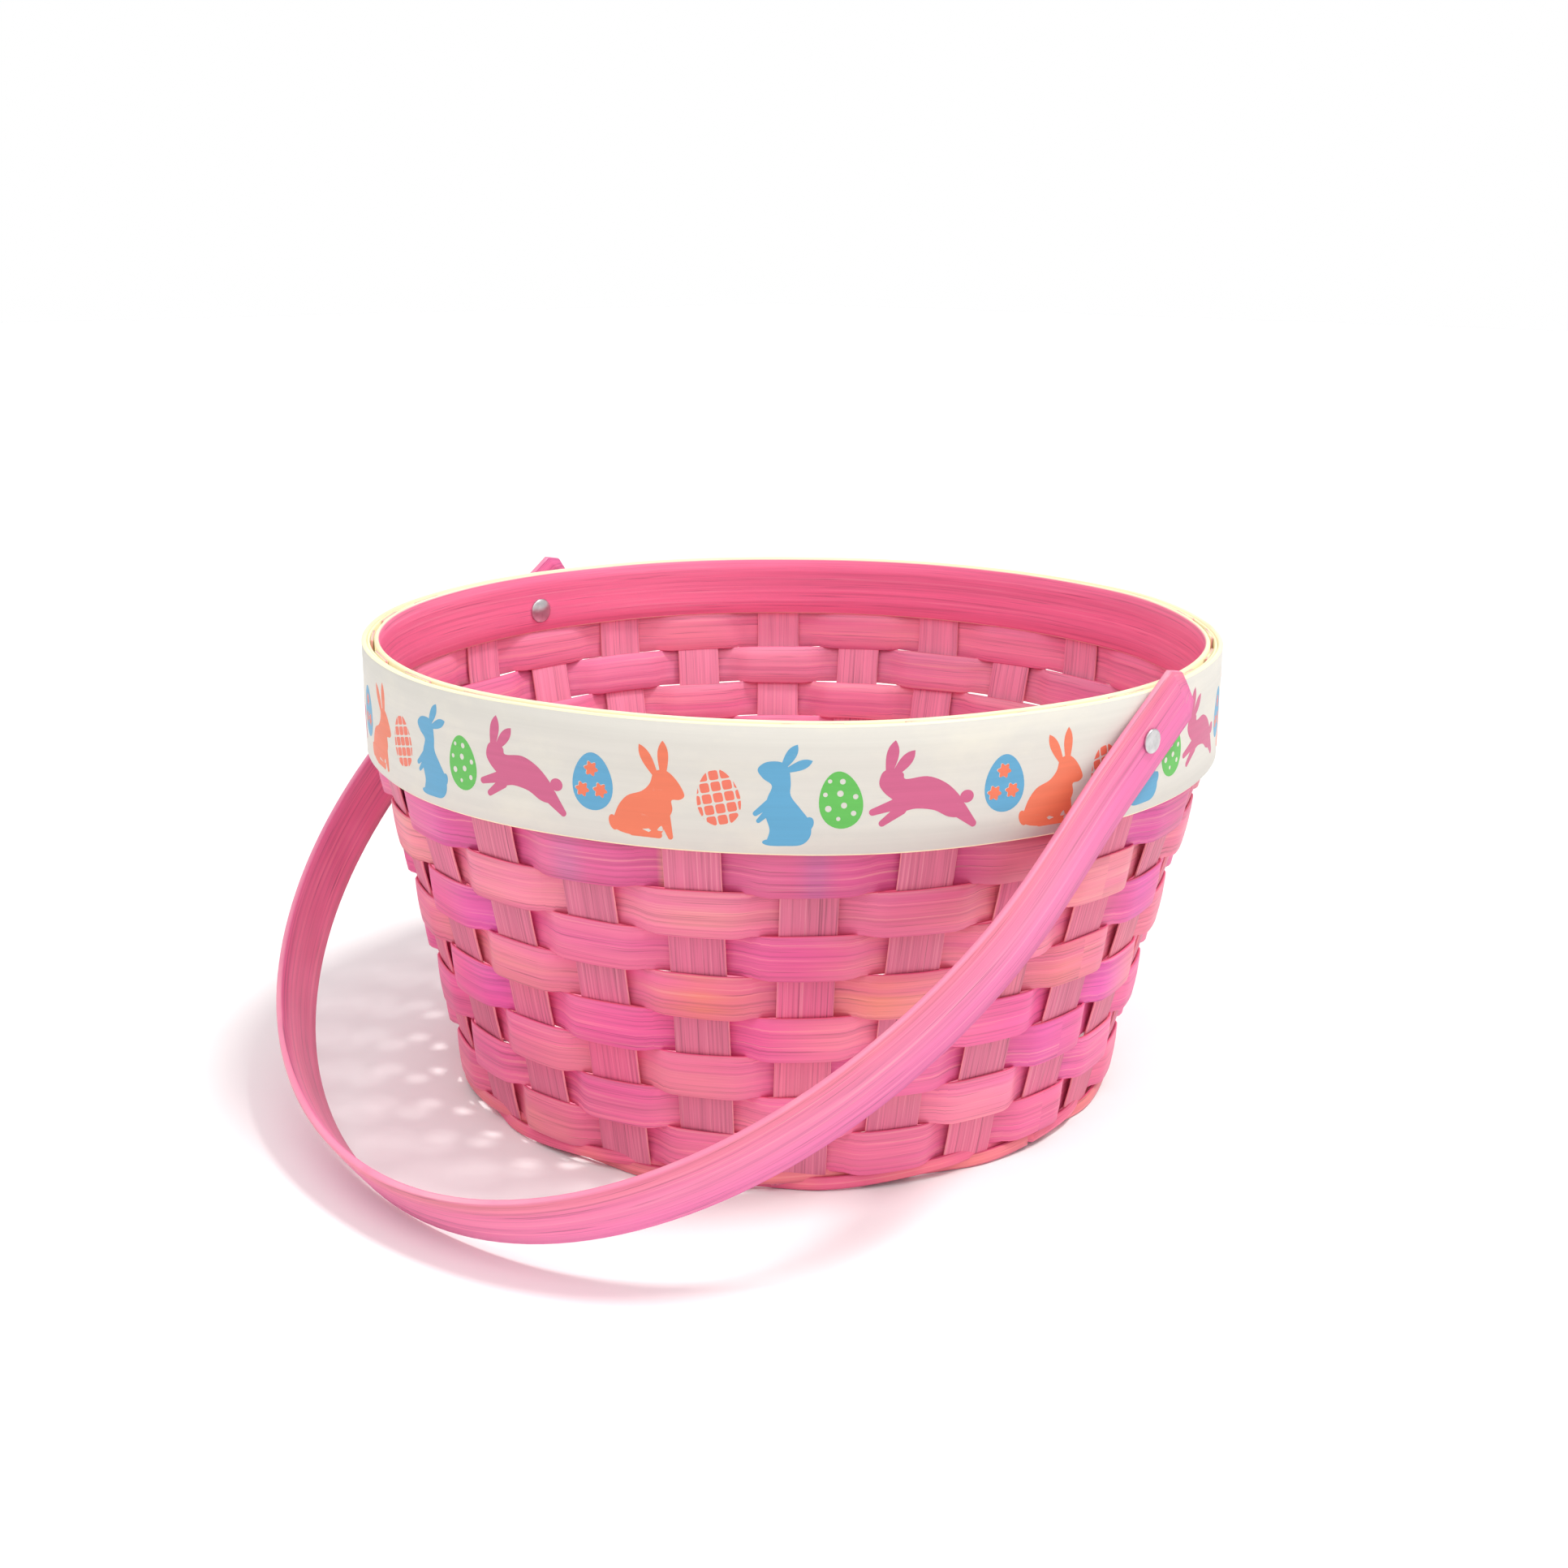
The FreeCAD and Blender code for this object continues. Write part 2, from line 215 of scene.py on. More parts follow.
def streaks(tree, along, across, detail, seed):
    """Noise drawn out along the splint: the map's first axis is its length in metres."""
    uv = add(tree, "ShaderNodeUVMap", uv_map="length")
    mapping = add(tree, "ShaderNodeMapping")
    mapping.inputs["Scale"].default_value = (along, across, 1)
    mapping.inputs["Location"].default_value = (seed, seed * 1.7, seed)
    texture = add(tree, "ShaderNodeTexNoise", Scale=1.0, Detail=detail, Roughness=0.62)
    tree.links.new(uv.outputs["UV"], mapping.inputs["Vector"])
    tree.links.new(mapping.outputs["Vector"], texture.inputs["Vector"])
    return texture.outputs["Fac"]


def ramp(tree, source, stops):
    """Grey values at places along a texture's range."""
    node = add(tree, "ShaderNodeValToRGB")
    elements = node.color_ramp.elements
    while len(elements) < len(stops):
        elements.new(0.5)
    for element, (place, value) in zip(elements, stops):
        element.position = place
        element.color = (value, value, value, 1)
    tree.links.new(source, node.inputs["Fac"])
    return node.outputs["Color"]


def mix(tree, blend, factor, first, second):
    """A colour mix; factor, first and second are sockets, numbers or colours."""
    node = add(tree, "ShaderNodeMix", data_type="RGBA", blend_type=blend)
    factor_socket, first_socket, second_socket = node.inputs[0], node.inputs[6], node.inputs[7]
    for socket, value in ((factor_socket, factor), (first_socket, first), (second_socket, second)):
        if isinstance(value, bpy.types.NodeSocket):
            tree.links.new(value, socket)
        elif isinstance(value, (int, float)):
            socket.default_value = value
        else:
            socket.default_value = (*value, 1)
    return node.outputs[2]


def roughen(tree, shader, source, low, high):
    """Roughness that follows a texture between two values."""
    node = add(tree, "ShaderNodeMapRange")
    node.inputs["To Min"].default_value = low
    node.inputs["To Max"].default_value = high
    tree.links.new(source, node.inputs["Value"])
    tree.links.new(node.outputs["Result"], shader.inputs["Roughness"])


def bump(tree, shader, height, strength, distance):
    """Fine relief that follows a texture."""
    node = add(tree, "ShaderNodeBump", Strength=strength, Distance=distance)
    tree.links.new(height, node.inputs["Height"])
    tree.links.new(node.outputs["Normal"], shader.inputs["Normal"])


def split_wood(name, seed, line_depth, rough_low, rough_high, grain=900, pale=None, second=None):
    """Dyed split wood: its own tint, streaks of a second dye, fine fibres and dark pores."""
    material, tree, shader = node_tree(name)
    tint = add(tree, "ShaderNodeAttribute", attribute_name="tint").outputs["Color"]
    fine = streaks(tree, 9, grain, 5, seed)
    broad = streaks(tree, 5, 190, 3, seed + 3)
    pores = streaks(tree, 22, grain * 1.5, 2, seed + 7)

    if second:
        bands = streaks(tree, 4, 110, 2, seed + 11)
        tint = mix(tree, "MIX", ramp(tree, bands, [(0.45, 0.0), (0.72, 0.6)]), tint, second)
    colour = mix(tree, "MULTIPLY", 1.0, tint, ramp(tree, broad, [(0.3, 0.9), (0.7, 1.1)]))
    colour = mix(tree, "MULTIPLY", line_depth, colour,
                 ramp(tree, fine, [(0.32, 0.68), (0.48, 0.98), (0.7, 1.04)]))
    colour = mix(tree, "MULTIPLY", line_depth * 0.8, colour,
                 ramp(tree, pores, [(0.3, 0.5), (0.4, 1.0)]))
    light = ramp(tree, fine, [(0.56, 0.0), (0.74, 0.5)])
    colour = mix(tree, "MIX", light, colour, pale or srgb(250, 176, 196))
    tree.links.new(colour, shader.inputs["Base Color"])

    roughen(tree, shader, fine, rough_low, rough_high)
    bump(tree, shader, fine, 0.35, 0.25 * MM)
    return material


def painted_wood():
    """Off-white paint over veneer: faint long grain, thin spots and grey scuffs."""
    material, tree, shader = node_tree("painted_band")
    fine = streaks(tree, 5, 420, 4, 21)
    patches = streaks(tree, 30, 60, 5, 25)
    scuffs = streaks(tree, 55, 240, 4, 31)
    colour = mix(tree, "MULTIPLY", 1.0, PAINT, ramp(tree, fine, [(0.3, 0.955), (0.6, 1.0)]))
    colour = mix(tree, "MIX", ramp(tree, patches, [(0.5, 0.0), (0.8, 0.5)]), colour,
                 srgb(232, 226, 208))
    colour = mix(tree, "MIX", ramp(tree, scuffs, [(0.68, 0.0), (0.8, 0.45)]), colour,
                 srgb(168, 170, 172))
    tree.links.new(colour, shader.inputs["Base Color"])
    roughen(tree, shader, patches, 0.42, 0.6)
    bump(tree, shader, fine, 0.12, 0.15 * MM)
    return material


def ink(name, colour):
    """Screen-printed ink: the grain shows through, with thin spots."""
    material, tree, shader = node_tree(name)
    fine = streaks(tree, 5, 420, 4, 21)
    thin = streaks(tree, 160, 420, 3, 41)
    shade = mix(tree, "MULTIPLY", 1.0, colour, ramp(tree, fine, [(0.3, 0.93), (0.65, 1.03)]))
    shade = mix(tree, "MIX", ramp(tree, thin, [(0.66, 0.0), (0.85, 0.3)]), shade, PAINT)
    tree.links.new(shade, shader.inputs["Base Color"])
    roughen(tree, shader, thin, 0.4, 0.55)
    bump(tree, shader, fine, 0.1, 0.1 * MM)
    return material


def rivet_metal():
    """Soft aluminium with turning marks, small dents and duller patches."""
    material, tree, shader = node_tree("rivet_metal")
    coordinates = add(tree, "ShaderNodeTexCoord")
    marks = add(tree, "ShaderNodeTexNoise", Scale=1400.0, Detail=4.0, Roughness=0.6)
    patches = add(tree, "ShaderNodeTexNoise", Scale=420.0, Detail=3.0, Roughness=0.5)
    for texture in (marks, patches):
        tree.links.new(coordinates.outputs["Object"], texture.inputs["Vector"])
    colour = mix(tree, "MULTIPLY", 1.0, srgb(214, 212, 214),
                 ramp(tree, patches.outputs["Fac"], [(0.3, 0.72), (0.7, 1.0)]))
    tree.links.new(colour, shader.inputs["Base Color"])
    shader.inputs["Metallic"].default_value = 1.0
    roughen(tree, shader, marks.outputs["Fac"], 0.22, 0.5)
    bump(tree, shader, marks.outputs["Fac"], 0.25, 0.1 * MM)
    return material


weaver_wood = split_wood("weaver_wood", 2.0, 0.8, 0.36, 0.6, pale=srgb(250, 190, 172),
                         second=srgb(230, 88, 156))
stake_wood = split_wood("stake_wood", 5.0, 1.0, 0.45, 0.7, grain=1300, pale=srgb(244, 180, 186))
handle_wood = split_wood("handle_wood", 9.0, 0.9, 0.28, 0.5, grain=900, pale=srgb(252, 190, 190),
                         second=srgb(226, 104, 158))
band_wood = split_wood("dyed_band", 13.0, 0.7, 0.36, 0.58, grain=800)
raw_wood = split_wood("raw_wood", 17.0, 0.5, 0.5, 0.75, grain=1500, pale=srgb(255, 250, 228))
painted = painted_wood()
metal = rivet_metal()


# -------- mesh building

def settle(point):
    """The woven wall as it has settled: a little hollow, its foot set to one side of the rim."""
    rise = max(0.0, min(1.0, point.z / BAND_BOTTOM))
    inward = 1 - WALL_HOLLOW * math.sqrt(math.sin(math.pi * rise))
    shift = FOOT_SET * (1 - rise)
    return Vector((point.x * inward + shift.x, point.y * inward + shift.y, point.z))


def finish_piece(name, vertices, faces, uvs, tints, materials, slots, body, smooth=True):
    """A mesh object with the length map, the tint layer, its materials and its body."""
    mesh = bpy.data.meshes.new(name)
    mesh.from_pydata([tuple(v) for v in vertices], [], faces)
    layer = mesh.uv_layers.new(name="length")
    loop = 0
    for face_uvs in uvs:
        for uv in face_uvs:
            layer.data[loop].uv = uv
            loop += 1
    if tints:
        attribute = mesh.attributes.new("tint", "FLOAT_COLOR", "POINT")
        for item, tint in zip(attribute.data, tints):
            item.color = (*tint, 1)
    for material in materials:
        mesh.materials.append(material)
    for polygon, slot in zip(mesh.polygons, slots):
        polygon.material_index = slot
        polygon.use_smooth = smooth
    mesh.validate()
    piece = bpy.data.objects.new(name, mesh)
    bpy.context.scene.collection.objects.link(piece)
    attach(piece, body)
    return piece


# places across half a strip, outside the bevel, as shares of what the bevel leaves
ACROSS = [-1.0, -0.5, 0.0, 0.5, 1.0]


def section(half_width, thickness, bevel):
    """One side of a strip's outline, edge to edge: place across, and share of the thickness."""
    flat = half_width - bevel
    edge_share = 1 - 2 * bevel / thickness
    inner = [(place * flat, 1.0) for place in ACROSS]
    return [(-half_width, edge_share)] + inner + [(half_width, edge_share)]


class Station:
    """One cross-section of a strip: where it is, how it lies, how wide it is, its dye, and the back's
    tint, which on weavers and stakes is painted light.
    """

    def __init__(self, centre, across, normal, half_width, crown=0.0, tint=None, back_tint=None):
        self.centre = centre
        self.across = across
        self.normal = normal
        self.half_width = half_width
        self.crown = crown
        self.tint = tint
        self.back_tint = back_tint or tint


SIDE_DYE = 0.75  # strength of the dye at a strip's two sides
SIDE_FROM, SIDE_TO = 0.15, 0.9  # where it sets in and is full, as shares of the half width
BACK_GRAIN = 0.05  # shift of the grain on a strip's back, in metres


def point_tint(station, side, place, share, edge_tint, sides):
    """The tint at one point of a section: the edge's, the face's, or the face's towards a side; the
    weavers' edges hold painted shade and their backs painted light.
    """
    if edge_tint and share < 1:
        return edge_tint
    if side < 0:
        return station.back_tint
    if not sides:
        return station.tint
    reach = smoothstep(SIDE_FROM, SIDE_TO, abs(place) / station.half_width)
    return station.tint.lerp(sides[0] if place < 0 else sides[1], SIDE_DYE * reach)


def strip(name, stations, thickness, closed, materials, body, edge_tint=None, uv_shift=0.0,
          bevel_share=0.3, settled=False, sides=None):
    """A strip swept through stations. Material 0 is the face along the normal, 1 the rest."""
    bevel = bevel_share * thickness
    side_count = len(ACROSS) + 2
    ring = 2 * side_count
    vertices, tints = [], []
    for station in stations:
        outline = section(station.half_width, thickness, bevel)
        for side, points in ((1, outline), (-1, outline[::-1])):
            for place, share in points:
                inward = 1 - (place / station.half_width) ** 2
                lift = side * thickness / 2 * share + station.crown * inward
                vertices.append(station.centre + station.across * place + station.normal * lift)
                tints.append(point_tint(station, side, place, share, edge_tint, sides))

    lengths = [uv_shift]
    count = len(stations)
    for index in range(count):
        step = stations[(index + 1) % count].centre - stations[index].centre
        lengths.append(lengths[-1] + step.length)

    faces, uvs, slots = [], [], []
    for index in range(count if closed else count - 1):
        here = index * ring
        there = ((index + 1) % count) * ring
        places = [place for place, _ in section(stations[index].half_width, thickness, bevel)]
        places += places[::-1]
        for side in range(ring):
            after = (side + 1) % ring
            faces.append((here + side, there + side, there + after, here + after))
            on_front = 1 <= side < side_count - 2
            shift = 0.0 if side < side_count - 1 else BACK_GRAIN
            across = [places[side] + shift, places[after] + shift]
            uvs.append([(lengths[index], across[0]), (lengths[index + 1], across[0]),
                        (lengths[index + 1], across[1]), (lengths[index], across[1])])
            slots.append(0 if on_front or len(materials) == 1 else 1)
    if not closed:
        for start in (0, (count - 1) * ring):
            loop = list(range(start, start + ring))
            if start:
                loop.reverse()
            faces.append(tuple(loop))
            uvs.append([(10 * MM * place, 20 * MM * place) for place in range(ring)])
            slots.append(len(materials) - 1)
    if settled:
        vertices = [settle(vertex) for vertex in vertices]
    return finish_piece(name, vertices, faces, uvs, tints, materials, slots, body)


# -------- weavers

STITCH_STEPS = 12  # cross-sections from one stake to the next
LIES_FLAT = 0.62  # the part of its swing past which a weaver lies flat
BULGE = 0.16  # how much further it stands off in the middle of a stitch
STANDS_UP = 0.45  # how much of the wall's lean a weaver doesn't follow
WEAVER_GAP = 0.12 * MM  # between a weaver and the stakes that it passes
BEHIND_BAND = 0.9  # the top row is pressed closer, between the bands
WEAVER_SPREAD = 0.42 * MM  # a weaver's edge past the middle of the step between rows
WEAVER_CROWN = 0.3 * MM
NARROWING = 0.06  # where it passes from outside to inside


def weave_side(angle, start):
    """Outside (1) or inside (-1) of the stakes at an angle, with the change in between."""
    swing = math.cos((angle - PHASE) * STAKES / 2) * start
    flat = math.sin(math.pi / 2 * min(1.0, abs(swing) / LIES_FLAT))
    return math.copysign(flat, swing) + BULGE * swing


def row_tint(row, angle):
    """A row's own dye, drifting along its length and from stitch to stitch, with its stains."""
    drift = wobble_round(angle, 2.6, row * 2.3)
    local = wobble_round(angle, 8, row * 5.1)
    tint = ROW_COLOURS[row].lerp(MAGENTA if drift > 0 else STRAW, min(0.3, 0.4 * abs(drift)))
    tint = tint.lerp(SOFT_PINK, max(0.0, min(0.4, 0.5 * local)))
    for stained, place, width, colour, strength in STAINS:
        off = math.degrees(angle - FRONT) - place
        off = (off + 180) % 360 - 180
        if stained - 1 == row and abs(off) < width:
            tint = tint.lerp(colour, strength * (1 - abs(off) / width))
    return tint


def weaver(row):
    """One woven ring. It stays more upright than the wall, so its lower edge stands out."""
    middle = ROW_MIDDLES[row]
    start = 1 if row % 2 == 0 else -1
    half_width = ROW_PITCH / 2 + WEAVER_SPREAD
    if middle < BAND_BOTTOM:
        upright, lean, room = STANDS_UP, LEAN * (1 - STANDS_UP), 1.0
    else:
        upright, lean, room = 0.0, 0.0, BEHIND_BAND
    contact = SPLINT_THICK + WEAVER_GAP + upright * math.tan(LEAN) * half_width
    stations = []
    for index in range(STAKES * STITCH_STEPS):
        angle = PHASE + index * STAKE_STEP / STITCH_STEPS
        side = weave_side(angle, start)
        height = middle + 0.3 * MM * wobble_round(angle, 4, row)
        radius = wall_radius(height) + side * contact * room
        radius += 0.15 * MM * wobble_round(angle, 7, row + 20)
        out = outward(angle)
        across = (out * math.sin(lean) + Vector((0, 0, math.cos(lean)))).normalized()
        normal = (out * math.cos(lean) - Vector((0, 0, math.sin(lean)))).normalized()
        width = half_width * (1 - NARROWING * (1 - min(1.0, abs(side))))
        width *= 1 + 0.025 * wobble_round(angle, 5, row + 9)
        tint = row_tint(row, angle)
        # the back faces the interior; its lighter pink is painted light
        stations.append(Station(out * radius + Vector((0, 0, height)), across, normal, width,
                                crown=WEAVER_CROWN * side * room, tint=tint,
                                back_tint=tint.lerp(INSIDE_PAINTED_LIGHT_PINK, 0.6)))
    # its edges are darkened, painted shade for the lines between rows
    piece = strip("weave_row_%d" % (row + 1), stations, SPLINT_THICK, True, [weaver_wood],
                  "basket", edge_tint=WEAVER_EDGE_DYE_AND_SHADE, uv_shift=row * 1.37, settled=True)
    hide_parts("weaver_row_%d" % (row + 1))


for row in range(ROWS):
    weaver(row)


# -------- foot strands

STRAND_HEIGHT = 3.3 * MM  # middle of the pair
STRAND_STEPS = 10  # cross-sections from one stake to the next
STRAND_RISE = 1.3 * MM  # each strand's way up and down as the two change places
STRAND_SWING = 1.35 * MM  # and its way in and out
STRAND_OUT = 0.15 * MM
STRAND_SNAP = 2.2  # how quickly it goes from inside to outside
STRAND_WIDTH = 4 * MM
STRAND_THICK = 1 * MM


def foot_strand(name, node, turn, colour):
    """One of two flat strands laid up round the foot, each outside two stakes in four."""
    stations = []
    for index in range(STAKES * STRAND_STEPS):
        angle = PHASE + index * STAKE_STEP / STRAND_STEPS
        lay = (angle - PHASE) * STAKES / 4 + turn
        side = math.tanh(STRAND_SNAP * math.cos(lay)) / math.tanh(STRAND_SNAP)
        height = STRAND_HEIGHT + STRAND_RISE * math.sin(lay)
        radius = wall_radius(height) + side * STRAND_SWING + STRAND_OUT
        out = outward(angle)
        tint = colour.lerp(ORANGE, max(0, 0.5 * wobble_round(angle, 6, turn)))
        stations.append(Station(out * radius + Vector((0, 0, height)), Vector((0, 0, 1)), out,
                                STRAND_WIDTH / 2, crown=0.3 * MM, tint=tint))
    # its edges are a dark rose, painted shade for the lines between strands
    piece = strip(name, stations, STRAND_THICK, True, [weaver_wood], "basket", edge_tint=ROSE_EDGE_DYE_AND_SHADE,
                  settled=True)
    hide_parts(node)


foot_strand("foot_strand_a", "foot_strand_lower", 0.0, STRAND_PINK)
foot_strand("foot_strand_b", "foot_strand_upper", math.pi, STRAND_SALMON)


# -------- base splints and stakes

def soften(points, rounds):
    """Corner cutting: each round takes a quarter off both ends of every step."""
    for _ in range(rounds):
        cut = [points[0]]
        for first, second in zip(points, points[1:]):
            cut.append(first * 0.75 + second * 0.25)
            cut.append(first * 0.25 + second * 0.75)
        cut.append(points[-1])
        points = cut
    return points


BEND_INSET = 5 * MM  # the foot bend begins this far inside the foot circle
BEND_LIFT = 0.3 * MM
BEND_HEIGHT = 6.5 * MM  # and ends at this height
STAKE_PUSH = 0.22 * MM  # how far the weavers push a stake in or out
LEVEL_CHANGE = 0.52 * MM  # a mat splint above or below the mat's middle
CROSSING_HALF = 5 * MM  # half of its level length at a crossing
MAT_EDGE = 10 * MM  # from the last crossing to the fanned arms
FAN_LENGTH = 30 * MM  # the fan takes this long to turn to the ring's radius


def arm_points(side, angle, number):
    """A stake from its foot bend to its top, pushed in and out by the weavers it passes."""
    out = Vector((side * math.cos(angle), math.sin(angle), 0))
    points = [out * (FOOT_RADIUS - BEND_INSET) + Vector((0, 0, MAT_LEVEL)),
              out * FOOT_RADIUS + Vector((0, 0, MAT_LEVEL + BEND_LIFT)),
              out * wall_radius(BEND_HEIGHT) + Vector((0, 0, BEND_HEIGHT))]
    for row, middle in enumerate(ROW_MIDDLES):
        outside = 1 if (row + number) % 2 == 0 else -1
        push = -outside * STAKE_PUSH
        points.append(out * (wall_radius(middle) + push) + Vector((0, 0, middle)))
    for below in (14 * MM, 8 * MM, 4 * MM, 0.0):
        points.append(out * TOP_RADIUS + Vector((0, 0, STAKE_TOP - below)))
    return points


def mat_points(place, first_level, crossings):
    """The part of a base splint in the woven floor, over and under those that cross it."""
    first = -MAT_PITCH * (crossings - 1) / 2
    edge = first - MAT_EDGE
    points = [Vector((edge, place * MAT_PITCH, MAT_LEVEL))]
    for index in range(crossings):
        level = first_level if index % 2 == 0 else -first_level
        for along in (-CROSSING_HALF, CROSSING_HALF):
            points.append(Vector((first + index * MAT_PITCH + along, place * MAT_PITCH,
                                  MAT_LEVEL + level * LEVEL_CHANGE)))
    points.append(Vector((-edge, place * MAT_PITCH, MAT_LEVEL)))
    return points


def fan_heading(point, edge):
    """Which way a splint runs over the ground: straight in the mat, then along the radius."""
    reach = Vector((point.x, point.y, 0))
    heading = Vector((1, 0, 0))
    if reach.length > 0 and abs(point.x) > edge:
        blend = smoothstep(edge, edge + FAN_LENGTH, abs(point.x))
        radial = reach.normalized() * math.copysign(1, point.x)
        heading = heading.lerp(radial, blend).normalized()
    return heading


def stake_tint(point, place, turn):
    """Dye that drifts up the stake, and bare wood where its cut end wasn't dipped; its inside is a
    lighter pink, painted light on the basket's interior.
    """
    shade = 0.12 * wobble(place * 3.7, turn * 2.1)
    tint = STAKE_PINK.lerp(SALMON, max(0, shade + 0.3 * wobble(point.z * 30, place, turn)))
    tint = tint.lerp(HOT_PINK, max(0, 0.5 * wobble(point.z * 22, place + 7, turn)))
    undyed = smoothstep(STAKE_TOP - 6 * MM, STAKE_TOP - 3 * MM, point.z)
    tint = tint.lerp(CREAM, undyed)
    # the inside is lifted towards a lighter pink, painted light on the interior, and is cream where
    # undyed
    inside_tint_and_painted_light = tint.lerp(INSIDE_PAINTED_LIGHT_PINK.lerp(CREAM, undyed), 0.7)
    return tint, inside_tint_and_painted_light


def base_splint(name, node, place, first_level, crossings, turn, numbers):
    """Stake, fan, mat, fan and stake in one strip. numbers are its two places in the ring."""
    angle = place * STAKE_STEP
    mat = mat_points(place, first_level, crossings)
    points = arm_points(-1, angle, numbers[1])[::-1] + mat + arm_points(1, angle, numbers[0])
    points = soften(points, 2)

    turned = Matrix.Rotation(turn + PHASE, 3, "Z")
    edge = abs(mat[0].x)
    stations = []
    for index, point in enumerate(points):
        ahead = points[min(index + 1, len(points) - 1)]
        behind = points[max(index - 1, 0)]
        tangent = (ahead - behind).normalized()
        # the strip's width stays level and square to the way it runs over the ground
        across = Vector((0, 0, 1)).cross(fan_heading(point, edge)).normalized()
        normal = across.cross(tangent).normalized()
        tint, inside_tint_and_painted_light = stake_tint(point, place, turn)
        stations.append(Station(turned @ point, turned @ across, turned @ normal,
                                SPLINT_WIDTH / 2, crown=0.12 * MM, tint=tint,
                                back_tint=inside_tint_and_painted_light))
    piece = strip(name, stations, SPLINT_THICK, False, [stake_wood], "basket",
                  edge_tint=CUT_EDGE, uv_shift=place * 2.3 + turn, settled=True)
    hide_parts(node)


for index in range(LONG_SPLINTS):
    place = index - (LONG_SPLINTS - 1) / 2
    number = int(place)
    base_splint("splint_long_%d" % (index + 1), "base_splint_long_%d" % (index + 1), place,
                1 if index % 2 == 0 else -1, CROSS_SPLINTS, 0.0,
                (number, STAKES // 2 - number))
for index in range(CROSS_SPLINTS):
    place = (CROSS_SPLINTS - 1) / 2 - index
    number = round(place + STAKES / 4)
    base_splint("splint_cross_%d" % (index + 1), "base_splint_cross_%d" % (index + 1), place,
                -1 if index % 2 == 0 else 1, LONG_SPLINTS, math.pi / 2,
                (number, round(3 * STAKES / 4 - place)))


# -------- bands at the rim

BAND_STEPS = 240
OUT_OF_ROUND = 0.3 * MM
OUT_OF_LEVEL = 0.35 * MM


def rim_wave(angle):
    """How far the rim is out of round, and how far its edge is out of level."""
    return (OUT_OF_ROUND * wobble_round(angle, 2.2, 3), OUT_OF_LEVEL * wobble_round(angle, 2.2, 12))


def rim_place(angle, radius, height):
    """A point at a radius and height of the rim, moved with its unevenness."""
    proud, lift = rim_wave(angle)
    return outward(angle) * (radius + proud) + Vector((0, 0, height + lift))


def rim_band(name, node, radius, thickness, low, high, materials, tint, seed, faces_in=False):
    """A bent veneer band: material 0 on its shown face, 1 on its back and edges."""
    facing = -1 if faces_in else 1
    stations = []
    for index in range(BAND_STEPS):
        angle = TAU * index / BAND_STEPS
        out = outward(angle)
        stations.append(Station(rim_place(angle, radius, (low + high) / 2),
                                Vector((0, 0, facing)), out * facing, (high - low) / 2,
                                tint=tint(angle) if callable(tint) else tint, back_tint=CREAM))
    piece = strip(name, stations, thickness, True, materials, "basket", edge_tint=CREAM,
                  uv_shift=seed)
    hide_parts(node)
    return piece


def inner_tint(angle):
    """The plain band's dye, drifting round the rim."""
    return BAND_PINK.lerp(HOT_PINK, 0.3 + 0.3 * wobble_round(angle, 2, 40))


printed_band = rim_band("printed_band", "outer_band", RIM_RADIUS - BAND_THICK / 2, BAND_THICK,
                        BAND_BOTTOM, RIM_TOP, [painted, raw_wood], CREAM, 0.0)
plain_band = rim_band("plain_band", "inner_band", INNER_RADIUS - BAND_THICK / 2, BAND_THICK,
                      INNER_BOTTOM, RIM_TOP, [band_wood, raw_wood], inner_tint, 3.0, faces_in=True)
filler = rim_band("filler_strip", "rim_filler", filler_box[1][0] - FILLER_THICK / 2, FILLER_THICK,
                  filler_box[0][2], filler_box[1][2], [raw_wood], CREAM, 5.0)


# -------- printed frieze

def oval(x, y, wide, tall, tilt=0.0, points=28):
    """An oval outline, in millimetres, tilted in degrees."""
    turn = math.radians(tilt)
    outline = []
    for index in range(points):
        angle = TAU * index / points
        a, b = wide * math.cos(angle), tall * math.sin(angle)
        outline.append((x + a * math.cos(turn) - b * math.sin(turn),
                        y + a * math.sin(turn) + b * math.cos(turn)))
    return outline


def leaf(x0, y0, x1, y1, wide, points=12):
    """A pointed ear from its root to its tip, widest past the middle."""
    axis = Vector((x1 - x0, y1 - y0))
    side = Vector((-axis.y, axis.x)).normalized() * wide / 2
    left, right = [], []
    for index in range(points + 1):
        along = index / points
        spread = (0.38 + 1.1 * along) * (1 - along ** 3.2)
        spread = min(1.0, spread) if along < 1 else 0.0
        middle = Vector((x0, y0)) + axis * along
        left.append(tuple(middle + side * spread))
        right.append(tuple(middle - side * spread))
    return left + right[::-1][1:]


def limb(x0, y0, x1, y1, thick, thin, points=8):
    """A leg that narrows towards a round paw."""
    axis = Vector((x1 - x0, y1 - y0))
    heading = math.atan2(axis.y, axis.x)
    outline = []
    for centre, radius, turn in (((x0, y0), thick / 2, math.pi / 2), ((x1, y1), thin / 2, -math.pi / 2)):
        for index in range(points + 1):
            angle = heading + turn + math.pi * index / points
            outline.append((centre[0] + radius * math.cos(angle), centre[1] + radius * math.sin(angle)))
    return outline


def smooth(points, steps=5):
    """A closed smooth curve through the points."""
    outline = []
    count = len(points)
    for index in range(count):
        p0, p1, p2, p3 = [Vector(points[(index + shift) % count]) for shift in (-1, 0, 1, 2)]
        for step in range(steps):
            t = step / steps
            outline.append(tuple(0.5 * (2 * p1 + (p2 - p0) * t
                                        + (2 * p0 - 5 * p1 + 4 * p2 - p3) * t * t
                                        + (3 * p1 - p0 - 3 * p2 + p3) * t ** 3)))
    return outline


